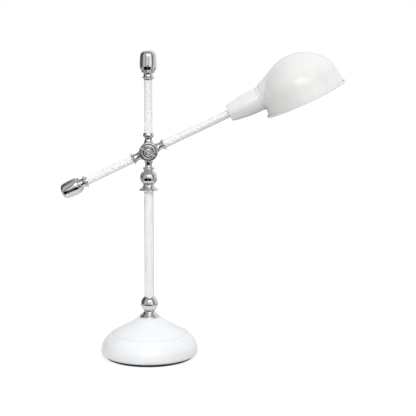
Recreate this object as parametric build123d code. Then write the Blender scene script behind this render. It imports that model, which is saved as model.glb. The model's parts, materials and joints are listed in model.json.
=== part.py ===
"""Counterweight balance desk lamp: every piece as its own solid, in one frame.

Millimetres. The origin is the middle of the base on the table, +Z up the
column, +X towards the shade; the clamp screw's head faces -Y. Arm pieces are
drawn level, with the tilt axis at the origin, and set to the rest angle last.
"""
from build123d import *
import math
import os

os.makedirs("parts", exist_ok=True)

# Clearances
RUN = 0.05            # radial, a shaft that turns in its hole
SLIP = 0.02           # radial, a screwed or pushed-in joint
FACE = 0.10           # between two faces that turn past each other
LOOSE = 0.3           # radial, a screw or dish that floats in its hole
OVER = 1.0            # how far a cutter runs past the face that it opens

# Base: the shoulder's points are (in from the edge, height), the cone's (radius, below the straight line)
BASE_R = 80.0
PAD_T = 4.0
PAD_INSET = 8.0
PLATE_INSET = 3.4
PLATE_T = 1.2
PLATE_HOLE_R = 16.0
WALL = 1.2
BASE_TOP_Z = 65.2
SEAT_R = 15.0
CONE = [(20.0, -0.8), (31.0, 0.1), (46.0, -0.4), (55.0, -0.6)]
VALLEY_INSET = 19.5
VALLEY_Z = 38.3
SHOULDER = [(17.8, 38.6), (15.4, 37.2), (11.2, 33.2), (7.1, 28.9), (3.7, 24.0), (1.4, 19.0), (0.4, 14.3),
            (0.0, 10.0), (0.5, 6.9), (1.8, 5.3)]
WEIGHT_INSET = 18.0
WEIGHT_TOP_R = 42.0
WEIGHT_EDGE_Z = 17.0
WEIGHT_BEVEL = (4.0, 5.8)
WEIGHT_TOP_Z = 24.0
POST_R = 9.0
NUT_POCKET_R = 15.0
NUT_POCKET_T = 9.0
NUT_FLATS = 17.0
NUT_T = 5.0
WASHER_R = 11.0
WASHER_T = 1.5
NIPPLE_R = 5.0
NIPPLE_BORE_R = 3.6
CORD_Z = 15.0         # the cord comes in at the shoulder's point nearest to this height
CORD_DEG = 158.0
CORD_R = 2.8
GROMMET_R = 5.2
GROMMET_LIP_R = 6.8
GROMMET_GRIP = (-2.1, 0.05)

# Column; the turned fittings' heights are above their own foot
POLE_R = 8.0
POLE_WALL = 1.2
POLE_LEN = 204.0
POLE_SEAT = 20.8      # the pole's foot above the base fitting's
FOOT_R = 15.6
FITTING = [(16.4, 1.4), (15.2, 3.1), (12.6, 5.1), (10.4, 7.0), (9.2, 9.4)]
BALL = [(9.2, 10.8), (12.0, 14.2), (13.5, 17.8), (13.9, 22.1), (13.4, 26.4), (11.6, 30.4), (8.9, 33.4)]
BALL_TOP = 34.2
SKIRT_DEPTH = 14.6    # how far the pole goes into the onion
SKIRT_R = 15.2
SKIRT = [(15.8, 0.8), (14.4, 2.6), (11.6, 4.6), (9.6, 6.8), (9.0, 9.2)]
ONION = [(9.0, 10.6), (11.8, 13.5), (13.5, 16.8), (14.1, 21.0), (13.6, 25.2), (11.7, 28.6), (8.8, 31.0)]
ONION_TOP = 33.8
ONION_NECK_R = 7.4
CHAMBER_R = 7.2
CHAMBER_T = 9.0
STEM_R = 4.0
STEM_BORE_R = 2.6
STEM_REACH = 7.7      # how far the stem goes into the hub
STEM_NUT_T = 4.0
STEM_NUT_FLATS = 11.0
RING_R = 9.8
RING_T = 4.0

# Hub and clamp
PIVOT_RISE = 25.0     # tilt axis above the ring
HUB_R = 15.3
HUB_T = 9.5
HUB_EDGE = 1.6
HUB_CLEAR = 0.5       # past the drum's rim, where the necks begin
FIBRE_R = 13.0
FIBRE_T = 1.0
LOWER_BOSS_R = 5.8
LOWER_BOSS = [(0.8, 0.0), (0.0, 2.6), (0.3, 6.0)]    # past its radius, above the ring
BOSS_ROOT = 1.2       # how much wider a boss is where it meets the drum
UPPER_BOSS_R = 6.5
UPPER_BOSS_RUN = (0.2, 1.8)
UPPER_BOSS = 23.3     # seat of the upper tube above the tilt axis
DISH_R = 11.6
DISH_T = 3.4
DISH_POCKET = 1.2
DISH_BOWL = [(9.6, 0.4), (7.4, 1.8), (4.2, 2.2)]
DISH_SEAT = (4.0, 1.0)
SLEEVE_R = 5.0
SLEEVE_BORE_R = 2.6
SCREW_R = 2.5
SCREW_HEAD_R = 3.1
SCREW_COLLAR_R = 3.4
SCREW_NECK_R = 1.9
BAR_R = 0.85
BAR_TIP_R = 0.35
BAR_TIP = 4.5
BAR_HALF = 15.8
BAR_DEG = -31.5
BALL_Y = -16.6
CAP_R = 8.5
CAP_T = 5.5
CAP_EDGE = 1.6
CAP_DOME = [(1.4, 1.9), (4.2, 0.5)]    # in from its radius, below its top
CAP_THREAD = 3.6
WAVE_T = 0.8
WAVE_R = 8.0

# Upper column and the two turned end knobs, measured from the knob's tip
TUBE_R = 6.75
TUBE_WALL = 1.1
SPIGOT_LEN = 10.0
COLLAR_LEN = 7.0
COLLAR_R = 8.9
COLLAR_LAP = 0.4      # how far the collar reaches down over the boss
COLLAR = [(0.7, 0.9), (0.0, 2.6), (0.1, 5.2)]        # in from its radius, above its foot
COLLAR_FOOT = 1.7
COLLAR_HEAD = 0.9
TOP_REACH = 161.7     # top of the lamp above the tilt axis
KNOB = [(3.2, 0.1), (6.4, 0.7), (9.9, 2.3), (12.0, 4.8), (12.85, 8.2), (13.35, 14.0), (13.6, 21.0),
        (13.45, 26.0), (12.7, 30.2)]
KNOB_LEN = 31.2
BEAD_R = 11.2
BEAD_LEN = 4.0
WAIST_R = 7.6
WAIST_LEN = 7.6
FLANGE_R = 10.8
FLANGE_HALF = 1.1
SLEEVE_PAST = 3.8     # the sleeve on the tube past the flange
SPIGOT_R = 4.0
STUD_LEN = 8.0
TUBE_GRIP = 2.0       # how far a tube goes in behind the flange

# Arm, level along X with the tilt axis at the origin
ARM_REST_DEG = 25.6
ARM_NECK_R = 6.3
ARM_NECK_X = 22.0
ARM_STUD_LEN = 4.0
ARM_FLANGE_R = 9.9
ARM_FLANGE_X = 28.2
ARM_FLANGE_T = 1.6
ARM_LAP = 0.9         # how far a tube goes into its flange
ARM_SPIGOT_X = 40.0
WEIGHT_TIP_X = -156.0
ARM_END_X = 143.2

# Lamp head, on the arm's line and measured from the back of the cup
CUP_BACK_R = 12.2
CUP_BACK_T = 2.0
CUP = [(13.2, 0.5), (13.7, 1.6), (14.9, 5.6), (16.2, 13.6), (17.5, 22.1), (18.4, 28.6), (18.9, 35.6),
       (19.1, 43.6), (19.1, 53.4)]
CUP_WALL = 1.2
PLUG_R = 4.6
PLUG_BORE_R = 3.0
PLUG_LEN = 12.0
SWIVEL_WASHER_R = 8.0
SWIVEL_WASHER_T = 0.8
SWIVEL_NUT_T = 3.5
SWIVEL_NUT_FLATS = 13.0
STUD_SPARE = 1.0      # thread past the nut
RING_BEAD_R = 20.2
RING_GROOVE_R = 19.5
NECK_RING_T = 2.4
NECK_RING_SKIRT = 7.0
SOCKET_R = 16.0
SOCKET_BACK_R = 12.0
SOCKET_STEP = (6.0, 12.0)
SOCKET_LEN = 46.0
SOCKET_OUT = 9.0      # how far the socket stands into the shade
SHELL_BORE_R = 13.15
SHELL_WALL = 0.6
SHELL_LEN = 27.0
SHELL_INSET = 3.0     # the shell's mouth behind the socket's
SHELL_HOLE_R = 7.0
CONTACT_R = 3.6
CONTACT_T = 3.8
CONTACT_PROUD = 0.5   # the contact's top above the socket's floor
SHADE_NUT_T = 3.0
SHADE_NUT_R = 18.6

# Shade: a spun dome with a side neck. Its heights are above the arm's line, the neck's lengths from its end
SHADE_BACK = 0.3      # from the ring's face to the dome's rear edge
SHADE_WALL = 0.8
DOME_TOP = 43.2
DOME = [(9.2, 42.6), (21.8, 39.7), (34.4, 33.7), (46.0, 25.2), (55.0, 15.8), (60.2, 6.2),
        (63.0, -5.0), (64.4, -17.0), (65.6, -30.6)]
RIM = -31.9
LIP_OUT = 1.35
LIP_HALF = 1.7
NECK_R = 19.6
NECK_TURN = (20.1, 2.6)
NECK_STEP = (22.2, 5.1)
NECK_END = (36.9, 38.9)

# Heights and places that follow
PAD_R = BASE_R - PAD_INSET
PLATE_R = BASE_R - PLATE_INSET
UNDER_Z = PAD_T + PLATE_T
POLE_FOOT_Z = BASE_TOP_Z + POLE_SEAT
POLE_HEAD_Z = POLE_FOOT_Z + POLE_LEN
ONION_FOOT_Z = POLE_HEAD_Z - SKIRT_DEPTH
ONION_TOP_Z = ONION_FOOT_Z + ONION_TOP
CHAMBER_TOP_Z = POLE_HEAD_Z + CHAMBER_T
RING_TOP_Z = ONION_TOP_Z + FACE + RING_T
STEM_TOP_Z = RING_TOP_Z + STEM_REACH
PIVOT_Z = RING_TOP_Z + PIVOT_RISE
UPPER_BOSS_Z = PIVOT_Z + UPPER_BOSS
COLLAR_Z = UPPER_BOSS_Z + COLLAR_LEN
TOP_Z = PIVOT_Z + TOP_REACH
NECK_END_R = HUB_R + HUB_CLEAR
FLANGE_AT = KNOB_LEN + BEAD_LEN + WAIST_LEN
SLEEVE_END = FLANGE_AT + SLEEVE_PAST
DRUM_FRONT = FIBRE_T / 2 + HUB_T
DRUM_BACK = FIBRE_T / 2 + FACE + HUB_T
CUP_X = ARM_END_X + FACE
CUP_R, CUP_LEN = CUP[-1]
NECK_X = CUP_LEN + NECK_RING_T
SOCKET_MOUTH_X = NECK_X + SOCKET_OUT
SOCKET_BACK_X = SOCKET_MOUTH_X - SOCKET_LEN
SHELL_MOUTH_X = SOCKET_MOUTH_X - SHELL_INSET
SHELL_BACK_X = SHELL_MOUTH_X - SHELL_LEN
SHADE_X = NECK_X + SHADE_BACK + DOME[-1][0]


def outline(*steps):
    """Closed face in the XZ plane: a pair is a line to it, a list is a curve through it."""
    here = steps[0]
    edges = []
    for step in list(steps[1:]) + [steps[0]]:
        run = step if isinstance(step, list) else [step]
        points = [Vector(p[0], 0, p[1]) for p in [here] + run]
        if (points[-1] - points[0]).length > 1e-6:
            edges.append(Edge.make_spline(points) if len(run) > 1 else Edge.make_line(*points))
        here = run[-1]
    return Face(Wire(edges))


def turned(*steps):
    """Solid of revolution about Z from (radius, height) steps."""
    return revolve(outline(*steps), Axis.Z)


def along_x(solid):
    """Lay a solid that was turned about Z on the X axis, +Z end at +X."""
    return Rot(0, 90, 0) * solid


def along_y(solid):
    """Lay a solid that was turned about Z on the Y axis, +Z end at +Y."""
    return Rot(-90, 0, 0) * solid


def rod(radius, low, high):
    return Pos(0, 0, low) * Cylinder(radius, high - low, align=(Align.CENTER, Align.CENTER, Align.MIN))


def tube(radius, bore, low, high):
    return rod(radius, low, high) - rod(bore, low - 1, high + 1)


def hexagon(across, bore, low, high):
    """Hexagon nut on Z, by its size across the flats."""
    blank = Pos(0, 0, low) * extrude(RegularPolygon(across / 2, 6, major_radius=False), high - low)
    return blank - rod(bore, low - 1, high + 1)


def inset(points, wall):
    """Points moved square to their own line, to the inside of a skin."""
    moved = []
    for i, (a, b) in enumerate(points):
        before = points[max(i - 1, 0)]
        after = points[min(i + 1, len(points) - 1)]
        da, db = after[0] - before[0], after[1] - before[1]
        length = math.hypot(da, db)
        moved.append((a + db / length * wall, b - da / length * wall))
    return moved


def at_height(points, foot):
    """Points of a turned fitting, moved up to its foot's height."""
    return [(radius, foot + height) for radius, height in points]


def set_arm(solid):
    """From the level drawing of the arm to its rest angle on the column."""
    return Pos(0, 0, PIVOT_Z) * Rot(0, -ARM_REST_DEG, 0) * solid


def set_head(solid):
    """A piece of the lamp head, turned about Z from the cup's back, onto the arm's end."""
    return set_arm(Pos(CUP_X, 0, 0) * along_x(solid))


def set_hub(solid):
    """A piece of the clamp, drawn about Y at the origin, to the tilt axis."""
    return Pos(0, 0, PIVOT_Z) * solid


# ---- base ----

def base_pad():
    return rod(PAD_R, 0, PAD_T)


def base_plate():
    return tube(PLATE_R, PLATE_HOLE_R, PAD_T, UNDER_Z)


def base_weight():
    """Cast ring under the skin, with a pocket below for the nut."""
    radius = BASE_R - WEIGHT_INSET
    body = turned((0, UNDER_Z), (radius, UNDER_Z), (radius, WEIGHT_EDGE_Z - WEIGHT_BEVEL[1]),
                  (radius - WEIGHT_BEVEL[0], WEIGHT_EDGE_Z), (WEIGHT_TOP_R, WEIGHT_TOP_Z), (0, WEIGHT_TOP_Z))
    body -= rod(NUT_POCKET_R, 0, UNDER_Z + NUT_POCKET_T)
    return body - rod(NIPPLE_R + SLIP, 0, WEIGHT_TOP_Z + OVER)


def shoulder_line():
    return [(BASE_R - inward, height) for inward, height in SHOULDER]


def cone_line():
    """Cone from the column's seat down to the valley, a little full at both ends."""
    valley = (BASE_R - VALLEY_INSET, VALLEY_Z)
    fall = (BASE_TOP_Z - VALLEY_Z) / (valley[0] - SEAT_R)
    side = [(radius, BASE_TOP_Z - fall * (radius - SEAT_R) - below) for radius, below in CONE]
    return [(SEAT_R, BASE_TOP_Z)] + side + [valley]


def base_shell():
    """Spun skin: cone, turned-in valley, round shoulder, edge rolled under."""
    cone = cone_line()
    shoulder = cone[-1:] + shoulder_line()
    under_cone = inset(cone, WALL)
    under_shoulder = inset(shoulder, WALL)
    under_valley = (cone[-1][0], VALLEY_Z - WALL)
    seat_under = (SEAT_R - WALL / 2, BASE_TOP_Z - WALL)
    skin = turned((0, BASE_TOP_Z), cone[0], cone[1:], shoulder[1:], under_shoulder[-1], under_shoulder[-2:0:-1],
                  under_valley, under_cone[-2:0:-1] + [seat_under], (0, BASE_TOP_Z - WALL))
    skin -= rod(NIPPLE_R + SLIP, WEIGHT_TOP_Z, BASE_TOP_Z + OVER)
    return skin - cord_spot() * rod(GROMMET_R + SLIP, -GROMMET_R, GROMMET_R)


def cord_spot():
    """Place on the base wall where the cord comes in, looking outwards along Z."""
    line = shoulder_line()
    nearest = min(range(1, len(line) - 1), key=lambda i: abs(line[i][1] - CORD_Z))
    above, spot, below = line[nearest - 1:nearest + 2]
    lean = math.degrees(math.atan2(below[0] - above[0], above[1] - below[1]))
    return Rot(0, 0, CORD_DEG) * Pos(spot[0], 0, spot[1]) * Rot(0, 90 - lean, 0)


def base_post():
    """Steel spacer from the weight up to the skin's seat, so the nut can pull it down."""
    return tube(POST_R, NIPPLE_R + SLIP, WEIGHT_TOP_Z, BASE_TOP_Z - WALL)


def base_nipple():
    return tube(NIPPLE_R, NIPPLE_BORE_R, UNDER_Z + OVER, POLE_FOOT_Z - 2 * OVER)


def base_washer():
    top = UNDER_Z + NUT_POCKET_T
    return tube(WASHER_R, NIPPLE_R + SLIP, top - WASHER_T, top)


def base_nut():
    top = UNDER_Z + NUT_POCKET_T - WASHER_T
    return hexagon(NUT_FLATS, NIPPLE_R + SLIP, top - NUT_T, top)


def cord_bushing():
    """Rubber grommet in the base wall, with a lip inside and a rounded one outside."""
    inner, outer = GROMMET_GRIP
    body = turned((CORD_R, inner - 1.5), (GROMMET_LIP_R, inner - 1.5), (GROMMET_LIP_R, inner), (GROMMET_R, inner),
                  (GROMMET_R, outer), (GROMMET_LIP_R, outer), (GROMMET_LIP_R, outer + 0.85),
                  [(GROMMET_LIP_R - 0.4, outer + 1.65), (GROMMET_LIP_R - 1.4, outer + 2.05)],
                  (CORD_R + 0.8, outer + 2.05), (CORD_R, outer + 1.35))
    return cord_spot() * body


# ---- column ----

def base_fitting():
    """Turned foot of the column: flange, neck and ball, bored for the pole."""
    foot = at_height(FITTING, BASE_TOP_Z)
    ball = at_height(BALL, BASE_TOP_Z)
    top = BASE_TOP_Z + BALL_TOP
    body = turned((0, BASE_TOP_Z), (FOOT_R, BASE_TOP_Z), foot[0], foot[1:], ball[0], ball[1:],
                  (POLE_R + 0.5, top), (0, top))
    body -= rod(POLE_R + SLIP, POLE_FOOT_Z, top + OVER)
    return body - rod(NIPPLE_R + SLIP, BASE_TOP_Z - OVER, POLE_FOOT_Z + OVER)


def lower_tube():
    return tube(POLE_R, POLE_R - POLE_WALL, POLE_FOOT_Z, POLE_HEAD_Z)


def onion_fitting():
    """Turned head of the pole: skirt, neck, onion, and the bearing of the swivel stem."""
    skirt = at_height(SKIRT, ONION_FOOT_Z)
    onion = at_height(ONION, ONION_FOOT_Z)
    body = turned((0, ONION_FOOT_Z), (SKIRT_R, ONION_FOOT_Z), skirt[0], skirt[1:], onion[0], onion[1:],
                  (ONION_NECK_R, ONION_TOP_Z - 1.2), (ONION_NECK_R, ONION_TOP_Z), (0, ONION_TOP_Z))
    body -= rod(POLE_R + SLIP, ONION_FOOT_Z - OVER, POLE_HEAD_Z)
    body -= rod(CHAMBER_R, POLE_HEAD_Z - OVER, CHAMBER_TOP_Z)
    return body - rod(STEM_R + RUN, CHAMBER_TOP_Z - OVER, ONION_TOP_Z + OVER)


def stem_nut():
    top = CHAMBER_TOP_Z - FACE
    return hexagon(STEM_NUT_FLATS, STEM_R + SLIP, top - STEM_NUT_T, top)


def swivel_stem():
    return tube(STEM_R, STEM_BORE_R, CHAMBER_TOP_Z - FACE - STEM_NUT_T, STEM_TOP_Z)


def swivel_ring():
    """Bead that turns on the onion's neck and carries the hub."""
    low = ONION_TOP_Z + FACE
    mid = (low + RING_TOP_Z) / 2
    edge = RING_R - 1.8
    body = turned((0, low), (edge, low), [(RING_R - 0.4, low + 0.9), (RING_R, mid),
                  (RING_R - 0.4, RING_TOP_Z - 0.9), (edge, RING_TOP_Z)], (0, RING_TOP_Z))
    return body - rod(STEM_R + SLIP, low - OVER, RING_TOP_Z + OVER)


# ---- hub and clamp ----

def drum(front, back, rim_side):
    """Disc on the tilt axis with its outer rim rounded; rim_side 0 is the front, -1 the back."""
    disc = along_y(rod(HUB_R, front, back))
    return fillet(disc.edges().filter_by(GeomType.CIRCLE).sort_by(Axis.Y)[rim_side], HUB_EDGE)


def column_hub():
    """Front drum with a boss below for the stem and one above for the upper tube."""
    low = PIVOT_Z - NECK_END_R
    high = PIVOT_Z + NECK_END_R
    spigot = TUBE_R - TUBE_WALL - SLIP
    lower_root = LOWER_BOSS_R + BOSS_ROOT
    upper_root = UPPER_BOSS_R + BOSS_ROOT
    waist = [(LOWER_BOSS_R + past, RING_TOP_Z + above) for past, above in LOWER_BOSS]
    taper = (UPPER_BOSS_R + UPPER_BOSS_RUN[0], high + UPPER_BOSS_RUN[1])
    lower = turned((0, RING_TOP_Z), waist[0], waist[1:] + [(lower_root, low)], (0, low))
    upper = turned((0, high), (upper_root, high), [taper, (UPPER_BOSS_R, UPPER_BOSS_Z)], (spigot, UPPER_BOSS_Z),
                   (spigot, UPPER_BOSS_Z + SPIGOT_LEN), (0, UPPER_BOSS_Z + SPIGOT_LEN))
    front_half = Pos(0, -HUB_R - FIBRE_T / 2, PIVOT_Z) * Box(4 * HUB_R, 2 * HUB_R, 4 * HUB_R)
    bridge = rod(lower_root, low, PIVOT_Z) + rod(upper_root, PIVOT_Z, high)
    body = set_hub(drum(-DRUM_FRONT, -FIBRE_T / 2, 0)) + (bridge & front_half) + lower + upper
    body -= set_hub(along_y(rod(SLEEVE_R + SLIP, -DRUM_FRONT - OVER, OVER)))
    body -= set_hub(along_y(rod(DISH_R + LOOSE, -2 * DRUM_FRONT, -DRUM_FRONT + DISH_POCKET)))
    return body - rod(STEM_R + SLIP, RING_TOP_Z - OVER, STEM_TOP_Z + 0.5)


def pivot_sleeve():
    """Fixed axle of the tilt: pushed into the front drum, the rear drum turns on it."""
    front = -DRUM_FRONT + DISH_POCKET + 0.4
    return set_hub(along_y(tube(SLEEVE_R, SLEEVE_BORE_R, front, DRUM_BACK)))


def friction_washer():
    return set_hub(along_y(tube(FIBRE_R, SLEEVE_R + SLIP, -FIBRE_T / 2, FIBRE_T / 2)))


def wave_washer():
    low = DRUM_BACK + FACE
    return set_hub(along_y(tube(WAVE_R, SCREW_R + LOOSE, low, low + WAVE_T)))


def rear_cap():
    """Domed nut behind the rear drum, drawn forward by the clamp screw."""
    low = DRUM_BACK + FACE + WAVE_T
    top = low + CAP_T
    crown = [(CAP_R - inward, top - below) for inward, below in CAP_DOME]
    body = turned((0, low), (CAP_R, low), (CAP_R, low + CAP_EDGE), crown + [(0, top)])
    return set_hub(along_y(body - rod(SCREW_R + SLIP, low - OVER, low + CAP_THREAD)))


def dish_back():
    return DRUM_FRONT - DISH_POCKET


def clamp_dish():
    """Bowl-shaped thrust washer in the front drum's pocket, under the screw's head."""
    back = dish_back()
    front = back + DISH_T
    bowl = [(radius, front - depth) for radius, depth in DISH_BOWL]
    seat = front - DISH_SEAT[1]
    body = turned((0, back), (DISH_R, back), (DISH_R, front - 1.2),
                  [(DISH_R - 0.35, front - 0.35), (DISH_R - 1.2, front)], bowl, (DISH_SEAT[0], seat), (0, seat))
    body -= rod(SCREW_R + LOOSE, back - OVER, front + OVER)
    return set_hub(along_y(Rot(180, 0, 0) * body))


def bar_frame():
    """Place of the ball's cross hole, along Z."""
    return Pos(0, BALL_Y, 0) * Rot(0, 90 - BAR_DEG, 0)


def clamp_screw():
    """Ball-headed screw through the whole hub, cross-drilled for the bar."""
    seat = -dish_back() - DISH_T + DISH_SEAT[1]
    tail = DRUM_BACK + FACE + WAVE_T + CAP_THREAD - 0.6
    neck_start = BALL_Y + SCREW_HEAD_R / 2
    shank = along_y(rod(SCREW_R, seat, tail))
    neck = along_y(turned((0, neck_start), (SCREW_NECK_R, neck_start), (SCREW_NECK_R, seat - 1.6),
                          (SCREW_COLLAR_R, seat - 0.6), (SCREW_COLLAR_R, seat), (0, seat)))
    body = shank + neck + Pos(0, BALL_Y, 0) * Rot(90, 0, 0) * Sphere(SCREW_HEAD_R)
    return set_hub(body - bar_frame() * rod(BAR_R + SLIP, -2 * SCREW_HEAD_R, 2 * SCREW_HEAD_R))


def crossbar():
    """Thin round bar through the ball, tapered at both tips."""
    body = turned((0, -BAR_HALF), (BAR_TIP_R, -BAR_HALF), (BAR_R, -BAR_HALF + BAR_TIP),
                  (BAR_R, BAR_HALF - BAR_TIP), (BAR_TIP_R, BAR_HALF), (0, BAR_HALF))
    return set_hub(bar_frame() * body)


# ---- upper column ----

def top_collar():
    """Bead at the foot of the upper tube."""
    low = UPPER_BOSS_Z - COLLAR_LAP
    side = [(COLLAR_R - inward, low + above) for inward, above in COLLAR]
    body = turned((UPPER_BOSS_R - OVER, low), (COLLAR_R - COLLAR_FOOT, low),
                  side + [(COLLAR_R - COLLAR_HEAD, COLLAR_Z)], (TUBE_R - OVER, COLLAR_Z))
    body -= rod(TUBE_R + SLIP, UPPER_BOSS_Z, COLLAR_Z + OVER)
    return body - rod(UPPER_BOSS_R + SLIP, low - OVER, UPPER_BOSS_Z)


def upper_tube():
    return tube(TUBE_R, TUBE_R - TUBE_WALL, UPPER_BOSS_Z, TOP_Z - FLANGE_AT + TUBE_GRIP)


def knob():
    """Barrel knob, tip at Z = 0 and pointing down, bored for its collar's stud."""
    body = turned((0, 0), KNOB, (BEAD_R, KNOB_LEN), (0, KNOB_LEN))
    return body - rod(SPIGOT_R + SLIP, KNOB_LEN - STUD_LEN - OVER, KNOB_LEN + OVER)


def knob_collar():
    """Bead, waist, thin flange and short sleeve between a knob and its tube."""
    bead_end = KNOB_LEN + BEAD_LEN
    body = turned((0, KNOB_LEN), (BEAD_R - 0.5, KNOB_LEN),
                  [(BEAD_R, KNOB_LEN + 1.2), (BEAD_R - 0.4, bead_end - 1.2), (BEAD_R - 1.6, bead_end)],
                  (WAIST_R, bead_end + 0.4),
                  [(WAIST_R - 0.2, bead_end + 2.6), (WAIST_R + 0.6, FLANGE_AT - 1.8),
                   (FLANGE_R - 0.3, FLANGE_AT - 0.6)],
                  [(FLANGE_R, FLANGE_AT), (FLANGE_R - 0.4, FLANGE_AT + 0.6)],
                  [(TUBE_R + 1.3, FLANGE_AT + FLANGE_HALF), (TUBE_R + 0.4, SLEEVE_END)], (0, SLEEVE_END))
    body += rod(SPIGOT_R, KNOB_LEN - STUD_LEN, KNOB_LEN + OVER)
    return body - rod(TUBE_R + SLIP, FLANGE_AT - TUBE_GRIP, SLEEVE_END + OVER)


def finial_knob():
    return Pos(0, 0, TOP_Z) * Rot(180, 0, 0) * knob()


def finial_collar():
    return Pos(0, 0, TOP_Z) * Rot(180, 0, 0) * knob_collar()


# ---- arm ----

def arm_hub():
    """Rear drum of the hub with a neck each way along the arm."""
    front = FIBRE_T / 2 + FACE
    neck = turned((0, NECK_END_R), (ARM_NECK_R + 0.9, NECK_END_R), [(ARM_NECK_R, NECK_END_R + 2.4),
                  (ARM_NECK_R + 0.2, ARM_NECK_X)], (SPIGOT_R, ARM_NECK_X), (SPIGOT_R, ARM_NECK_X + ARM_STUD_LEN),
                  (0, ARM_NECK_X + ARM_STUD_LEN))
    rear_half = Pos(0, HUB_R + front, 0) * Box(4 * HUB_R, 2 * HUB_R, 4 * HUB_R)
    bridge = along_x(rod(ARM_NECK_R + 0.9, -NECK_END_R, NECK_END_R)) & rear_half
    body = drum(front, DRUM_BACK, -1) + bridge + along_x(neck) + along_x(Rot(180, 0, 0) * neck)
    return set_arm(body - along_y(rod(SLEEVE_R + RUN, front - OVER, DRUM_BACK + OVER)))


def arm_collar():
    """Thin dished flange on a waisted neck, open at the tube's end."""
    flat = ARM_FLANGE_X - ARM_FLANGE_T
    lap = ARM_FLANGE_X - ARM_LAP
    spigot = TUBE_R - TUBE_WALL - SLIP
    body = turned((0, ARM_NECK_X), (ARM_NECK_R + 0.3, ARM_NECK_X),
                  [(ARM_NECK_R + 0.5, ARM_NECK_X + 1.8), (ARM_NECK_R + 1.3, flat - 1.4),
                   (ARM_FLANGE_R - 0.2, flat + 0.3)],
                  [(ARM_FLANGE_R, flat + 0.9), (ARM_FLANGE_R - 0.3, ARM_FLANGE_X)],
                  (TUBE_R + 0.6, lap), (spigot, lap), (spigot, ARM_SPIGOT_X), (0, ARM_SPIGOT_X))
    return body - rod(SPIGOT_R + SLIP, ARM_NECK_X - OVER, ARM_NECK_X + ARM_STUD_LEN + 0.5)


def arm_collar_right():
    return set_arm(along_x(arm_collar()))


def arm_collar_left():
    return set_arm(along_x(Rot(180, 0, 0) * arm_collar()))


def arm_tube_right():
    return set_arm(along_x(tube(TUBE_R, TUBE_R - TUBE_WALL, ARM_FLANGE_X - ARM_LAP, ARM_END_X)))


def arm_tube_left():
    end = WEIGHT_TIP_X + FLANGE_AT - TUBE_GRIP
    return set_arm(along_x(tube(TUBE_R, TUBE_R - TUBE_WALL, end, -ARM_FLANGE_X + ARM_LAP)))


def counterweight():
    return set_arm(Pos(WEIGHT_TIP_X, 0, 0) * along_x(knob()))


def counterweight_collar():
    return set_arm(Pos(WEIGHT_TIP_X, 0, 0) * along_x(knob_collar()))


# ---- lamp head ----

def swivel_washer_x():
    return CUP_BACK_T + FACE


def swivel_nut_x():
    return swivel_washer_x() + SWIVEL_WASHER_T


def swivel_plug():
    """Plug in the arm's end whose hollow stud carries the cup."""
    plug_r = TUBE_R - TUBE_WALL - SLIP
    shoulder = -FACE
    back = shoulder - PLUG_LEN
    tip = swivel_nut_x() + SWIVEL_NUT_T + STUD_SPARE
    body = turned((0, back), (plug_r, back), (plug_r, shoulder), (PLUG_R, shoulder), (PLUG_R, tip), (0, tip))
    return set_head(body - rod(PLUG_BORE_R, back - OVER, tip + OVER))


def swivel_washer():
    low = swivel_washer_x()
    return set_head(tube(SWIVEL_WASHER_R, PLUG_R + SLIP, low, low + SWIVEL_WASHER_T))


def swivel_nut():
    low = swivel_nut_x()
    return set_head(hexagon(SWIVEL_NUT_FLATS, PLUG_R + SLIP, low, low + SWIVEL_NUT_T))


def socket_cup():
    """Tapered husk round the lamp socket, open towards the shade."""
    inner = inset(CUP, -CUP_WALL)
    mouth = (CUP_R - CUP_WALL, CUP_LEN)
    floor_r = CUP_BACK_R + 0.1
    body = turned((0, 0), (CUP_BACK_R, 0), CUP, mouth, inner[-2:2:-1] + [(floor_r + 0.6, CUP_BACK_T + 0.8)],
                  (floor_r, CUP_BACK_T), (0, CUP_BACK_T))
    return set_head(body - rod(PLUG_R + RUN, -OVER, CUP_BACK_T + OVER))


def neck_ring():
    """Double-beaded ring between cup and shade, with a skirt inside the cup."""
    mid = (CUP_LEN + NECK_X) / 2
    skirt_r = CUP_R - CUP_WALL - SLIP
    edge = RING_BEAD_R - 1.0
    bore = SOCKET_R + SLIP
    body = turned((bore, CUP_LEN - NECK_RING_SKIRT), (skirt_r, CUP_LEN - NECK_RING_SKIRT), (skirt_r, CUP_LEN),
                  (edge, CUP_LEN), [(RING_BEAD_R, CUP_LEN + 0.6), (RING_GROOVE_R, mid)],
                  [(RING_BEAD_R, NECK_X - 0.6), (edge, NECK_X)], (bore, NECK_X))
    return set_head(body)


def lamp_socket():
    """Moulded holder body behind and round the screw shell."""
    step_start = SOCKET_BACK_X + SOCKET_STEP[0]
    step_end = SOCKET_BACK_X + SOCKET_STEP[1]
    step_mid = ((SOCKET_BACK_R + SOCKET_R) / 2, (step_start + step_end) / 2)
    body = turned((0, SOCKET_BACK_X), (SOCKET_BACK_R, SOCKET_BACK_X), (SOCKET_BACK_R, step_start), step_mid,
                  (SOCKET_R, step_end), (SOCKET_R, SOCKET_MOUTH_X - 1.0), (SOCKET_R - 1.0, SOCKET_MOUTH_X),
                  (0, SOCKET_MOUTH_X))
    body -= rod(CONTACT_R + SLIP, contact_x(), SHELL_BACK_X + OVER)
    return set_head(body - rod(SHELL_BORE_R + SHELL_WALL + SLIP, SHELL_BACK_X, SOCKET_MOUTH_X + OVER))


def screw_shell():
    """Drawn metal cup that takes the bulb's screw cap."""
    outside = rod(SHELL_BORE_R + SHELL_WALL, SHELL_BACK_X, SHELL_MOUTH_X)
    inside = rod(SHELL_BORE_R, SHELL_BACK_X + SHELL_WALL, SHELL_MOUTH_X + OVER)
    return set_head(outside - inside - rod(SHELL_HOLE_R, SHELL_BACK_X - OVER, SHELL_BACK_X + OVER))


def contact_x():
    return SHELL_BACK_X + CONTACT_PROUD - CONTACT_T


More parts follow.
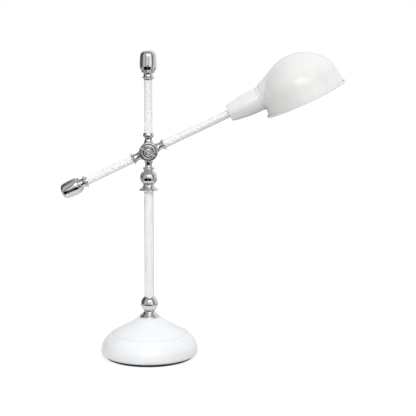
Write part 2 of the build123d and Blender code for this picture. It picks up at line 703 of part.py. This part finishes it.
def centre_contact():
    """Domed contact, let into the socket's floor."""
    low = contact_x()
    top = low + CONTACT_T
    body = turned((0, low), (CONTACT_R, low), (CONTACT_R, top - 1.8),
                  [(CONTACT_R - 0.4, top - 0.9), (CONTACT_R - 2.0, top - 0.2), (0, top)])
    return set_head(body)


def shade_nut():
    """Ring nut on the socket's thread that holds the shade's neck to the ring."""
    low = NECK_X + SHADE_WALL
    return set_head(tube(SHADE_NUT_R, SOCKET_R + SLIP, low, low + SHADE_NUT_T))


def dome(skin, below):
    """Solid inside the dome's outer line, inset by skin, down to below; drawn about Z."""
    line = inset([(0, DOME_TOP)] + DOME, skin)
    line[0] = (0, DOME_TOP - skin)
    return Pos(SHADE_X, 0, 0) * turned(line[0], line[1:], (line[-1][0], below), (0, below))


def neck_horn(skin, start):
    """Solid inside the neck's flare, inset by skin; along X."""
    radius = NECK_R - skin
    turn = (NECK_TURN[0] - skin, NECK_X + NECK_TURN[1])
    step = (NECK_STEP[0] - skin, NECK_X + NECK_STEP[1])
    end = (NECK_END[0] - skin, NECK_X + NECK_END[1])
    return along_x(turned((0, start), (radius, start), [turn, step], end, (0, end[1])))


def shade():
    """Spun dome, side neck and rolled lip in one sheet."""
    body = dome(0, RIM) + neck_horn(0, NECK_X)
    body -= dome(SHADE_WALL, -NECK_END[0] - OVER) + neck_horn(SHADE_WALL, NECK_X + SHADE_WALL)
    body -= along_x(rod(SOCKET_R + SLIP, NECK_X - OVER, NECK_X + 2 * OVER))
    lip = Pos(SHADE_X, 0, RIM) * Torus(DOME[-1][0] + LIP_OUT, LIP_HALF)
    return set_arm(Pos(CUP_X, 0, 0) * (body + lip))


PIECES = [
    base_pad, base_plate, base_weight, base_post, base_shell, base_nipple, base_washer, base_nut, cord_bushing,
    base_fitting, lower_tube, onion_fitting,
    stem_nut, swivel_stem, swivel_ring, column_hub, pivot_sleeve, friction_washer, wave_washer, rear_cap,
    top_collar, upper_tube, finial_collar, finial_knob,
    clamp_dish, clamp_screw, crossbar,
    arm_hub, arm_collar_left, arm_collar_right, arm_tube_left, arm_tube_right, counterweight_collar,
    counterweight, swivel_plug, swivel_washer, swivel_nut,
    socket_cup, neck_ring, lamp_socket, screw_shell, centre_contact, shade_nut, shade,
]

for piece in PIECES:
    solid = piece()
    export_step(solid, "parts/" + piece.__name__ + ".step")
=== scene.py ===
"""Counterweight balance desk lamp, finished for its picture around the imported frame.

Metres, +Z up the column, +X towards the shade, the clamp screw's head towards -Y.
The sections follow the lamp as it is put together, from the pad up to the shade.
"""
import json
import math

import bpy
import numpy as np
from mathutils import Matrix, Vector


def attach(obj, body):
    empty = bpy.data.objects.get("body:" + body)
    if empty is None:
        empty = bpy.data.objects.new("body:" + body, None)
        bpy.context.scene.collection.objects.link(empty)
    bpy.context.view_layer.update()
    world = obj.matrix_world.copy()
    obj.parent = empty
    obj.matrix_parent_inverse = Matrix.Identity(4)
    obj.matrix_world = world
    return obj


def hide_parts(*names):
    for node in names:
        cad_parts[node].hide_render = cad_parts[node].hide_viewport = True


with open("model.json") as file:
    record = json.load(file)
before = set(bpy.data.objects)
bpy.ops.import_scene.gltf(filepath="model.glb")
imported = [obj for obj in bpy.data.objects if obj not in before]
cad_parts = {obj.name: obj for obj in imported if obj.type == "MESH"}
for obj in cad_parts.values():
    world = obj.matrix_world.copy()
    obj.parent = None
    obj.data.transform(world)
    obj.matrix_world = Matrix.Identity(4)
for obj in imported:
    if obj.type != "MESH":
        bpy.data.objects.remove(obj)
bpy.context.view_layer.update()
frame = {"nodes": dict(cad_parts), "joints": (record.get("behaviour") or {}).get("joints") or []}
nodes = frame["nodes"]
joints = {joint["name"]: joint for joint in frame["joints"]}
scene = bpy.context.scene


# ---- Camera ----
# The photograph's own place: about two metres off and a little above the lamp's top,
# looking slightly down on it. The focal length is in pixels of the square frame.

FRAME_PX = 416
FOCAL_PX = 1200
SENSOR_MM = 36.0
CAMERA_AT = (0.096, -1.925, 0.553)
CAMERA_DOWN = math.radians(9.05)
CAMERA_ROLL = math.radians(0.135)

camera_data = bpy.data.cameras.new("camera")
camera_data.sensor_width = SENSOR_MM
camera_data.lens = SENSOR_MM * FOCAL_PX / FRAME_PX
camera = bpy.data.objects.new("camera", camera_data)
pitch = Matrix.Rotation(math.pi / 2 - CAMERA_DOWN, 4, "X")
camera.matrix_world = Matrix.Translation(CAMERA_AT) @ pitch @ Matrix.Rotation(CAMERA_ROLL, 4, "Z")
scene.collection.objects.link(camera)
scene.camera = camera
scene.view_settings.view_transform = "Standard"


# ---- Studio ----
# A white sweep under one large softbox, with a low strip light for the column and the
# base. Grey walls, a black card on the floor in front and a dark gap under the softbox
# give the plated pieces their dark lines.

class Wire:
    """One output socket; sums and products of wires add the Math nodes that they need."""

    def __init__(self, tree, socket):
        self.tree = tree
        self.socket = socket

    def beside(self, name):
        """Another output of the same node."""
        return Wire(self.tree, self.socket.node.outputs[name])

    def math(self, operation, *others):
        return self.tree.node("Math", {"operation": operation}, dict(enumerate((self,) + others)))

    def __add__(self, other):
        return self.math("ADD", other)

    def __radd__(self, other):
        return self.math("ADD", other)

    def __sub__(self, other):
        return self.math("SUBTRACT", other)

    def __rsub__(self, other):
        return self.math("MULTIPLY_ADD", -1.0, other)

    def __mul__(self, other):
        return self.math("MULTIPLY", other)

    def __rmul__(self, other):
        return self.math("MULTIPLY", other)

    def __truediv__(self, other):
        return self.math("DIVIDE", other)


class Tree:
    """The node tree of a finish, of the floor or of the world."""

    def __init__(self, owner):
        owner.use_nodes = True
        self.nodes = owner.node_tree.nodes
        self.links = owner.node_tree.links
        self.nodes.clear()

    def node(self, kind, settings=None, sockets=None, out=0):
        """Adds a node: settings first, then values or links; gives back one of its outputs."""
        made = self.nodes.new("ShaderNode" + kind)
        for name, value in (settings or {}).items():
            if name == "stops":
                ramp = made.color_ramp
                while len(ramp.elements) < len(value):
                    ramp.elements.new(1.0)
                for stop, (place, colour) in zip(ramp.elements, value):
                    stop.position = place
                    stop.color = colour
            else:
                setattr(made, name, value)
        for name, value in (sockets or {}).items():
            socket = made.inputs[name]
            if isinstance(value, Wire):
                self.links.new(value.socket, socket)
            else:
                socket.default_value = value
        return Wire(self, made.outputs[out]) if len(made.outputs) else made

    def blend(self, share, low, high):
        """Colour mix: low where share is 0, high where it is 1."""
        return self.node("Mix", {"data_type": "RGBA"}, {0: share, 6: low, 7: high}, out=2)

    def ramp(self, value, low, high):
        """0 below low, 1 above high, eased between."""
        return self.node("MapRange", {"interpolation_type": "SMOOTHSTEP"},
                         {"Value": value, "From Min": low, "From Max": high})

    def band(self, turn, edges, soft):
        """1 between two azimuths in degrees, eased over soft degrees each way from both edges."""
        rise, fall = [self.ramp(turn, math.radians(edge - soft), math.radians(edge + soft)) for edge in edges]
        return rise * (1.0 - fall)


def grey(level):
    return (level, level, level, 1.0)


# (azimuth from the camera's side in degrees, + towards the shade; level in the chrome)
ROOM = [(-180, 0.75), (-150, 0.60), (-128, 0.10), (-80, 0.09), (-70, 0.50), (-42, 0.62), (-33, 0.50),
        (-30, 0.14), (-26, 0.14), (-22, 0.75), (-10, 0.90), (2, 0.66), (10, 0.50), (16, 0.80), (30, 1.05),
        (48, 1.00), (58, 0.22), (72, 0.18), (84, 0.62), (115, 0.80), (145, 0.90), (180, 0.75)]
CEILING = 0.42
CEILING_FROM = (0.70, 0.92)     # the look's upward part, where the walls turn into the ceiling
FAR_FLOOR = 0.42
FLOOR_FROM = (0.13, 0.20)       # its downward part, where they turn into the floor beyond the table
DARK_FLOOR = (-62, 36)          # azimuths between which that floor is black
DARK_FLOOR_SOFT = 6
CAMERA_GAP = (-10, 4)           # the dark gap under the softbox that the flat faces mirror
CAMERA_GAP_SOFT = 2
GAP_TOP = (-0.08, -0.05)
GAP_LEVEL = 0.10
# what falls on the paint: from all round, and more from above, from the right and from the front
SKY_ROUND, SKY_TOP, SKY_RIGHT, SKY_FRONT = 0.43, 0.58, 0.28, 0.33

world = bpy.data.worlds.new("studio")
scene.world = world
studio = Tree(world)
on_camera = studio.node("LightPath", out="Is Camera Ray")
looking = studio.node("TexCoord", out="Generated")
look_x = studio.node("SeparateXYZ", None, {0: looking}, out="X")
look_y = look_x.beside("Y")
look_z = look_x.beside("Z")
turn = look_x.math("ARCTAN2", look_y * -1.0)
stops = [((azimuth + 180) / 360, grey(level)) for azimuth, level in ROOM]
walls = studio.node("ValToRGB", {"stops": stops}, {"Fac": turn / (2 * math.pi) + 0.5})
beyond_table = FAR_FLOOR * (1.0 - studio.band(turn, DARK_FLOOR, DARK_FLOOR_SOFT))
seen = studio.blend(studio.ramp(look_z, *CEILING_FROM), walls, grey(CEILING))
seen = studio.blend(studio.ramp(look_z * -1.0, *FLOOR_FROM), seen, beyond_table)
gap = studio.band(turn, CAMERA_GAP, CAMERA_GAP_SOFT) * (1.0 - studio.ramp(look_z, *GAP_TOP))
seen = studio.blend(gap, seen, grey(GAP_LEVEL))
sky = SKY_ROUND + look_z.math("MAXIMUM", 0.0) * SKY_TOP + look_x.math("MAXIMUM", 0.0) * SKY_RIGHT
sky = sky + (look_y * -1.0).math("MAXIMUM", 0.0) * SKY_FRONT
mirrored = on_camera.beside("Is Glossy Ray").math("MAXIMUM", on_camera.beside("Is Transmission Ray"))
light = studio.blend(on_camera, studio.blend(mirrored, sky, seen), grey(1.0))
background = studio.node("Background", None, {"Color": light, "Strength": 1.0})
studio.node("OutputWorld", None, {"Surface": background})

FLOOR_HALF = 8.0
FLOOR_GREY = 0.42
FLOOR_LIFT = 0.75       # added for the camera, so that the lit floor comes out white

floor_corners = [(x * FLOOR_HALF, y * FLOOR_HALF, 0.0) for x, y in ((-1, -1), (1, -1), (1, 1), (-1, 1))]
floor_mesh = bpy.data.meshes.new("floor")
floor_mesh.from_pydata(floor_corners, [], [(0, 1, 2, 3)])
floor = bpy.data.objects.new("floor", floor_mesh)
scene.collection.objects.link(floor)
floor.visible_glossy = False
sweep = bpy.data.materials.new("white_sweep")
paper = Tree(sweep)
by_camera = paper.node("LightPath", out="Is Camera Ray")
plainly_seen = by_camera.math("MAXIMUM", by_camera.beside("Is Transmission Ray"))
matt = paper.node("BsdfDiffuse", None, {"Color": grey(FLOOR_GREY)})
lift = paper.node("Emission", None, {"Color": grey(1.0), "Strength": plainly_seen * FLOOR_LIFT})
paper.node("OutputMaterial", None, {"Surface": paper.node("AddShader", None, {0: matt, 1: lift})})
floor_mesh.materials.append(sweep)

# The white table top round the lamp, which shows in the plating alone.
TABLE_R = 0.30
TABLE_SIDES = 96
TABLE_WHITE = (0.88, 0.89, 0.90, 1.0)

table_turns = [2 * math.pi * i / TABLE_SIDES for i in range(TABLE_SIDES)]
table_rim = [(TABLE_R * math.cos(a), TABLE_R * math.sin(a), 0.0) for a in table_turns]
table_mesh = bpy.data.meshes.new("table_in_chrome")
table_mesh.from_pydata(table_rim, [], [tuple(range(TABLE_SIDES))])
table = bpy.data.objects.new("table_in_chrome", table_mesh)
scene.collection.objects.link(table)
table.visible_camera = False
table.visible_diffuse = False
table.visible_shadow = False
glow = bpy.data.materials.new("white_table")
shine = Tree(glow)
shine.node("OutputMaterial", None, {"Surface": shine.node("Emission", None, {"Color": TABLE_WHITE})})
table_mesh.materials.append(glow)


def aim(at, to):
    """Matrix that stands at a place and looks along -Z to another."""
    return Matrix.Translation(at) @ (Vector(to) - Vector(at)).to_track_quat("-Z", "Y").to_matrix().to_4x4()


SOFTBOX_AT = (0.10, -1.45, 1.15)
SOFTBOX_SIZE = (1.45, 0.70)
SOFTBOX_RADIANCE = 1.97
LAMP_MIDDLE = (0.05, 0.0, 0.30)

softbox_area = math.pi / 4 * SOFTBOX_SIZE[0] * SOFTBOX_SIZE[1]
softbox_data = bpy.data.lights.new("softbox", "AREA")
softbox_data.shape = "ELLIPSE"
softbox_data.size, softbox_data.size_y = SOFTBOX_SIZE
softbox_data.energy = SOFTBOX_RADIANCE * math.pi * softbox_area
softbox = bpy.data.objects.new("softbox", softbox_data)
softbox.matrix_world = aim(SOFTBOX_AT, LAMP_MIDDLE)
scene.collection.objects.link(softbox)

# The strip light has a grid, so that it lifts the column and the base but not the shade.
STRIP_AT = (-0.20, -1.00, 0.25)
STRIP_SIZE = (0.16, 0.50)
STRIP_SPREAD = math.radians(26)
STRIP_ENERGY = 0.088
COLUMN_MIDDLE = (-0.04, 0.0, 0.22)

strip_data = bpy.data.lights.new("strip", "AREA")
strip_data.shape = "RECTANGLE"
strip_data.size, strip_data.size_y = STRIP_SIZE
strip_data.spread = STRIP_SPREAD
strip_data.energy = STRIP_ENERGY
strip = bpy.data.objects.new("strip", strip_data)
strip.matrix_world = aim(STRIP_AT, COLUMN_MIDDLE)
strip.visible_glossy = False
strip.visible_camera = False
scene.collection.objects.link(strip)


# ---- Base pad ----
# A thin disc of black rubber under the base, set in from the edge so that it only
# shows as a dark line. Moulded matt, a little dusty in places. The steel plate above
# it is given the same matt black as painted shadow, so that it stays in that dark line.

def surface(tree, constants, varying):
    """Closes a finish: one Principled shader with its constants and its varying sockets."""
    shader = tree.node("BsdfPrincipled", None, {**constants, **varying})
    tree.node("OutputMaterial", None, {"Surface": shader})


def grain(tree, size, detail=2.0, rough=0.5):
    """Noise whose blotches are about size metres across."""
    place = tree.node("TexCoord", out="Object")
    return tree.node("TexNoise", None,
                     {"Vector": place, "Scale": 1.0 / size, "Detail": detail, "Roughness": rough})


def relief(tree, height, distance):
    return tree.node("Bump", None, {"Height": height, "Distance": distance, "Strength": 1.0})


def coat(node, material):
    """Gives a CAD node its finish."""
    for slot in nodes[node].material_slots:
        slot.material = material


rubber = bpy.data.materials.new("black_rubber")
tree = Tree(rubber)
dust = tree.ramp(grain(tree, 0.006, 4.0), 0.45, 0.75)
colour = tree.blend(dust * 0.5, (0.018, 0.018, 0.019, 1.0), (0.06, 0.058, 0.055, 1.0))
pores = relief(tree, grain(tree, 0.0006), 0.00008)
surface(tree, {"Specular IOR Level": 0.35},
        {"Base Color": colour, "Roughness": 0.62 + dust * 0.2, "Normal": pores})
coat("base_pad", rubber)
# Painted shadow: the steel plate takes the rubber's black so that it reads as part of the dark line under the
# rim.
coat("base_plate", rubber)


# ---- Weight and the rod that holds the base together ----
# A sand-cast iron ring and a threaded steel nipple with its nut, washer and spacer,
# closed in by the plate and the skin. The joints' inner steel pieces are plated alike.

iron = bpy.data.materials.new("cast_iron")
tree = Tree(iron)
skin = grain(tree, 0.0014, 5.0, 0.65)
rust = tree.ramp(grain(tree, 0.012, 3.0), 0.4, 0.7)
colour = tree.blend(rust, (0.045, 0.044, 0.045, 1.0), (0.085, 0.07, 0.06, 1.0))
surface(tree, {"Metallic": 0.6},
        {"Base Color": colour, "Roughness": 0.55 + skin * 0.3, "Normal": relief(tree, skin, 0.0004)})
coat("base_weight", iron)

steel = bpy.data.materials.new("zinc_steel")
tree = Tree(steel)
spangle = grain(tree, 0.003, 3.0)
colour = tree.blend(spangle, (0.50, 0.51, 0.52, 1.0), (0.66, 0.665, 0.66, 1.0))
scratches = relief(tree, grain(tree, 0.0004, 3.0), 0.00002)
surface(tree, {"Metallic": 1.0},
        {"Base Color": colour, "Roughness": 0.26 + spangle * 0.16, "Normal": scratches})
for node in ("base_post", "base_nipple", "base_washer", "base_nut", "stem_nut", "swivel_stem",
             "pivot_sleeve", "wave_washer", "swivel_washer", "swivel_nut", "shade_nut"):
    coat(node, steel)


# ---- Base skin and painted tubes ----
# Spun and drawn steel, sprayed with cool-white gloss enamel: a faint orange peel,
# a little paler where the coat is thick. The bushing in the base's side is rubber.

VALLEY_R = 0.0602           # the turned-in valley between the base's cone and its shoulder
VALLEY_HALF = 0.0014
VALLEY_DEPTH = 0.0004
PEEL_HEIGHT = 0.000005


def enamel(name, thin, thick, valley=False):
    """Gloss enamel between two near whites; on the base it also sinks in the valley by bump, and its colour
    there is darkened as painted shadow.
    """
    material = bpy.data.materials.new(name)
    tree = Tree(material)
    drift = grain(tree, 0.045, 2.0)
    peel = grain(tree, 0.0022, 1.5)
    fleck = tree.ramp(grain(tree, 0.0007, 1.0), 0.74, 0.82)
    colour = tree.blend(drift, thin, thick)
    colour = tree.blend(fleck * 0.12, colour, (0.62, 0.62, 0.61, 1.0))
    height = peel * PEEL_HEIGHT
    if valley:
        place = tree.node("TexCoord", out="Object")
        flat = tree.node("VectorMath", {"operation": "MULTIPLY"}, {0: place, 1: (1.0, 1.0, 0.0)})
        radius = tree.node("VectorMath", {"operation": "LENGTH"}, {0: flat}, out="Value")
        # Painted shadow: the valley's colour is greyed and darkened where shade falls in it; the same mask
        # also sinks it by bump.
        valley_sink_and_shadow = 1.0 - tree.ramp((radius - VALLEY_R).math("ABSOLUTE"), 0.0, VALLEY_HALF)
        colour = tree.blend(valley_sink_and_shadow * 0.18, colour, (0.55, 0.57, 0.59, 1.0))
        height = height - valley_sink_and_shadow * VALLEY_DEPTH
    surface(tree, {"IOR": 1.5, "Coat Roughness": 0.05, "Coat IOR": 1.5},
            {"Base Color": colour, "Roughness": 0.20 + drift * 0.06, "Coat Weight": 0.45 + drift * 0.2,
             "Normal": relief(tree, height, 1.0)})
    return material


COOL_THIN, COOL_THICK = (0.865, 0.885, 0.902, 1.0), (0.895, 0.912, 0.928, 1.0)

coat("base_shell", enamel("base_enamel", COOL_THIN, COOL_THICK, valley=True))
cool_white = enamel("cool_white_enamel", COOL_THIN, COOL_THICK)
for node in ("lower_tube", "upper_tube", "arm_tube_left"):
    coat(node, cool_white)
coat("cord_bushing", rubber)


# ---- Plated fittings ----
# Turned brass, polished and chromed. The plating is bright, with fine wiping marks
# that show only in the roughness.

chrome = bpy.data.materials.new("chrome_plate")
tree = Tree(chrome)
wiped = grain(tree, 0.004, 4.0, 0.6)
colour = tree.blend(wiped, (0.70, 0.70, 0.71, 1.0), (0.77, 0.77, 0.775, 1.0))
surface(tree, {"Metallic": 1.0}, {"Base Color": colour, "Roughness": 0.035 + wiped * 0.05})
for node in ("base_fitting", "onion_fitting", "swivel_ring", "column_hub", "top_collar", "finial_collar",
             "finial_knob", "clamp_dish", "clamp_screw", "crossbar", "arm_hub", "arm_collar_left",
             "arm_collar_right", "counterweight_collar", "counterweight", "rear_cap"):
    coat(node, chrome)


# ---- Friction washer ----
# A ring of pressed brown fibre between the two drums of the tilt joint. It is punched
# from sheet, and its strands show on the faces.

fibre = bpy.data.materials.new("pressed_fibre")
tree = Tree(fibre)
strands = grain(tree, 0.0009, 4.0, 0.7)
colour = tree.blend(strands, (0.035, 0.026, 0.020, 1.0), (0.075, 0.060, 0.045, 1.0))
surface(tree, {},
        {"Base Color": colour, "Roughness": 0.75 + strands * 0.15, "Normal": relief(tree, strands, 0.00005)})
coat("friction_washer", fibre)


# ---- Right arm tube, cup, ring and socket ----
# The plug is plain turned brass, the socket glazed porcelain with a drawn shell. The
# arm tube, cup and ring are sprayed in the shade's enamel, warmer than the column's.

brass = bpy.data.materials.new("turned_brass")
tree = Tree(brass)
turning = grain(tree, 0.0012, 3.0)
colour = tree.blend(turning, (0.50, 0.36, 0.16, 1.0), (0.62, 0.46, 0.22, 1.0))
surface(tree, {"Metallic": 1.0}, {"Base Color": colour, "Roughness": 0.22 + turning * 0.14})
for node in ("swivel_plug", "centre_contact"):
    coat(node, brass)

porcelain = bpy.data.materials.new("glazed_porcelain")
tree = Tree(porcelain)
glaze = grain(tree, 0.008, 3.0)
colour = tree.blend(glaze, (0.78, 0.765, 0.72, 1.0), (0.84, 0.83, 0.80, 1.0))
ripple = relief(tree, grain(tree, 0.003), 0.00003)
surface(tree, {"Coat Roughness": 0.04},
        {"Base Color": colour, "Roughness": 0.2 + glaze * 0.08, "Normal": ripple})
coat("lamp_socket", porcelain)

drawn = bpy.data.materials.new("drawn_shell")
tree = Tree(drawn)
marks = grain(tree, 0.0015, 4.0)
colour = tree.blend(marks, (0.58, 0.57, 0.55, 1.0), (0.70, 0.69, 0.67, 1.0))
surface(tree, {"Metallic": 1.0}, {"Base Color": colour, "Roughness": 0.24 + marks * 0.12})
coat("screw_shell", drawn)

warm_white = enamel("warm_white_enamel", (0.89, 0.885, 0.875, 1.0), (0.915, 0.91, 0.90, 1.0))
for node in ("arm_tube_right", "socket_cup", "neck_ring", "shade"):
    coat(node, warm_white)


# ---- Shade ----
# One spun sheet: the dome, the flared neck at its side and the lip, rolled outwards
# with a fine gap between it and the wall that is painted dark as shadow. Neck and dome run into each other.

ARM_REST = math.radians(25.6)
PIVOT = Vector(joints["arm_tilt"]["pos_m"])
NECK_AT = 0.1991            # the ring's face, along the arm from the tilt axis
DOME_AT = 0.2650            # the dome's axis, likewise
MM_PER_M = 1000

# The sheet is worked out in millimetres, with u along the arm from the ring's face, v up
# and w across, and comes back to metres where it is placed.
DOME_U = (DOME_AT - NECK_AT) * MM_PER_M
DOME_POINTS = [(0.0, 43.2), (9.2, 42.6), (21.8, 39.7), (34.4, 33.7), (46.0, 25.2), (55.0, 15.8), (60.2, 6.2),
               (63.0, -5.0), (64.4, -17.0), (65.6, -30.6)]      # radius, v
DOME_DEGREE = 6
RIM_R, RIM_V = DOME_POINTS[-1]
NECK_POINTS = [(0.0, 19.6), (2.0, 19.7), (2.9, 20.2), (3.7, 21.1), (5.1, 22.2), (38.9, 36.9)]    # u, radius
NECK_R = NECK_POINTS[0][1]
FLARE_COSINE = 0.917
LEAST_SINE = 0.2            # keeps the straight wall under the rim finite near the axis
SHEET = 0.8
SOCKET_HOLE = 16.05
SEAM_STEPS = [(0.02, -0.9), (0.12, -1.35)]      # out and up from the rim, into the gap
BEAD_AT = (67.75, -31.6)
BEAD_R = 1.65
BEAD_TURNS = (188, -118)    # degrees, from inside the gap round to the inner edge
BEAD_STEPS = 19
INNER_EDGE = 0.9            # how far the inner edge lies under the bead's middle
SHADOW_PAINT_STEPS = 4              # rows behind the roll that are painted dark as shadow in the seam

# The blend of neck and dome grows along the neck, and dies out up the flank and at the rim.
BLEND_LEAST = 0.2
BLEND_MOST = 14.0
BLEND_FROM_U = 2.0
BLEND_RUN_U = 9.0
FLANK_V = 18.0
FLANK_SHARE = 0.08
FOOT_V = -26.0
FOOT_RUN = 14.0
FOOT_SHARE = 0.3

AROUND = 160
LOOPS = 60
RAY_STEPS = np.linspace(0.5, 240.0, 160)
RAY_HALVINGS = 18
RAY_START = 0.02            # how far inside the skin the rays start
SHARP = math.radians(40)


def dome_polar():
    """Even polynomial for the dome's radius by the angle from its axis."""
    points = np.array(DOME_POINTS)
    angle = np.arctan2(points[:, 0], points[:, 1])
    reach = np.hypot(points[:, 0], points[:, 1])
    return np.polyfit(angle ** 2, reach, DOME_DEGREE)


def shade_field(u, v, w, polar):
    """Below zero inside the shade's outer skin, and about the distance to it elsewhere."""
    out = np.hypot(u - DOME_U, w)
    angle = np.arctan2(out, v)
    cylinder = RIM_R / np.maximum(np.sin(angle), LEAST_SINE)
    reach = np.where(angle < math.atan2(RIM_R, RIM_V), np.polyval(polar, angle ** 2), cylinder)
    dome = np.hypot(out, v) - reach
    neck = np.array(NECK_POINTS)
    horn = (np.hypot(v, w) - np.interp(u, neck[:, 0], neck[:, 1])) * FLARE_COSINE
    horn = np.maximum(horn, u - neck[-1, 0])
    along = np.clip((u - BLEND_FROM_U) / BLEND_RUN_U, 0.0, 1.0)
    flank = np.clip((FLANK_V - v) / FLANK_V, FLANK_SHARE, 1.0)
    foot = np.clip((v - FOOT_V) / FOOT_RUN, FOOT_SHARE, 1.0)
    blend = (BLEND_LEAST + BLEND_MOST * along * flank) * foot
    near = np.maximum(blend - np.abs(dome - horn), 0.0) / blend
    return np.minimum(dome, horn) - near * near * blend / 4


def outermost(start, way, polar):
    """Distance along each ray to where it leaves the skin for the last time."""
    inside = np.zeros(len(way))
    for step in RAY_STEPS:
        at = start + way * step
        inside = np.where(shade_field(at[:, 0], at[:, 1], at[:, 2], polar) < 0, step, inside)
    low, high = inside, inside + RAY_STEPS[1] - RAY_STEPS[0]
    for _ in range(RAY_HALVINGS):
        middle = (low + high) / 2
        at = start + way * middle[:, None]
        within = shade_field(at[:, 0], at[:, 1], at[:, 2], polar) < 0
        low, high = np.where(within, middle, low), np.where(within, high, middle)
    return low


def skin_loops():
    """Closed loops of the outer skin, fanned from the ring's plane to the rim's."""
    polar = dome_polar()
    rear = DOME_U - RIM_R
    turn = np.linspace(0, 2 * math.pi, AROUND, endpoint=False)
    loops = []
    for i in range(1, LOOPS):
        t = i / LOOPS
        tilt = math.pi / 2 * (1 - t)
        foot = np.array([rear * t + RAY_START, -NECK_R + RAY_START + (RIM_V + NECK_R) * t, 0.0])
        along = np.array([math.cos(tilt), math.sin(tilt), 0.0])
        top = outermost(foot[None, :], along[None, :], polar)[0]
        centre = foot + along * top / 2
        way = np.cos(turn)[:, None] * along + np.sin(turn)[:, None] * np.array([0.0, 0.0, 1.0])
        loops.append(centre + way * outermost(centre[None, :], way, polar)[:, None])
    return loops


def ring_loop(radius, u):
    """A circle round the neck's axis."""
    turn = np.linspace(0, 2 * math.pi, AROUND, endpoint=False)
    return np.stack([np.full(AROUND, u), radius * np.cos(turn), radius * np.sin(turn)], 1)


def rim_loop(radius, v):
    """A circle round the dome's axis."""
    turn = np.linspace(0, 2 * math.pi, AROUND, endpoint=False)
    return np.stack([DOME_U + radius * np.cos(turn), np.full(AROUND, v), radius * np.sin(turn)], 1)


def outward(skin):
    """Unit normals at the points of a skin of loops, pointing away from its middle."""
    round_way = np.roll(skin, -1, 1) - np.roll(skin, 1, 1)
    down_way = np.gradient(skin, axis=0)
    normal = np.cross(down_way, round_way)
    normal /= np.linalg.norm(normal, axis=2, keepdims=True)
    away = ((skin - skin.mean(axis=(0, 1))) * normal).sum() > 0
    return normal if away else -normal


outer = [ring_loop(NECK_R, 0.0)] + skin_loops() + [rim_loop(RIM_R, RIM_V)]
outer_skin = np.array(outer)
inner = outer_skin - outward(outer_skin) * SHEET
inner[0] = ring_loop(NECK_R - SHEET, SHEET)
inner[:, :, 0] = np.maximum(inner[:, :, 0], SHEET)
bead = [rim_loop(BEAD_AT[0] + BEAD_R * math.cos(a), BEAD_AT[1] + BEAD_R * math.sin(a))
        for a in np.radians(np.linspace(*BEAD_TURNS, BEAD_STEPS))]
lip = [rim_loop(RIM_R + out, RIM_V + up) for out, up in SEAM_STEPS] + bead
lip += [rim_loop(RIM_R - SHEET, BEAD_AT[1] - INNER_EDGE)]
rows = [ring_loop(SOCKET_HOLE, SHEET), ring_loop(SOCKET_HOLE, 0.0)] + outer + lip + list(inner[::-1])

to_rest = Matrix.Translation(PIVOT) @ Matrix.Rotation(-ARM_REST, 4, "Y") @ Matrix.Translation((NECK_AT, 0, 0))
places = [to_rest @ Vector((u / MM_PER_M, -w / MM_PER_M, v / MM_PER_M)) for row in rows for u, v, w in row]
faces = []
for i in range(len(rows)):
    here = i * AROUND
    following = (i + 1) % len(rows) * AROUND
    for j in range(AROUND):
        beside = (j + 1) % AROUND
        faces.append((here + j, here + beside, following + beside, following + j))

# Painted shadow: a near-black finish on the seam's faces darkens the gap between the roll and the wall.
seam_shadow_paint = bpy.data.materials.new("seam_painted_shadow")
tree = Tree(seam_shadow_paint)
seam_shadow_grain = grain(tree, 0.002, 3.0)
colour = tree.blend(seam_shadow_grain, (0.03, 0.03, 0.032, 1.0), (0.07, 0.07, 0.072, 1.0))
surface(tree, {"Metallic": 0.4}, {"Base Color": colour, "Roughness": 0.55 + seam_shadow_grain * 0.2})

shade_mesh = bpy.data.meshes.new("shade_skin")
shade_mesh.from_pydata(places, [], faces)
shade_mesh.materials.append(warm_white)
shade_mesh.materials.append(seam_shadow_paint)
# The rows from the rim into the roll take the painted shadow.
shadow_painted_rows = range(2 + len(outer), 3 + len(outer) + SHADOW_PAINT_STEPS)
shade_mesh.polygons.foreach_set("material_index", [int(i // AROUND in shadow_painted_rows) for i in range(len(faces))])
shade_mesh.polygons.foreach_set("use_smooth", [True] * len(faces))
shade_mesh.set_sharp_from_angle(angle=SHARP)
shade = bpy.data.objects.new("shade_skin", shade_mesh)
scene.collection.objects.link(shade)
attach(shade, "head")
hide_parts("shade")
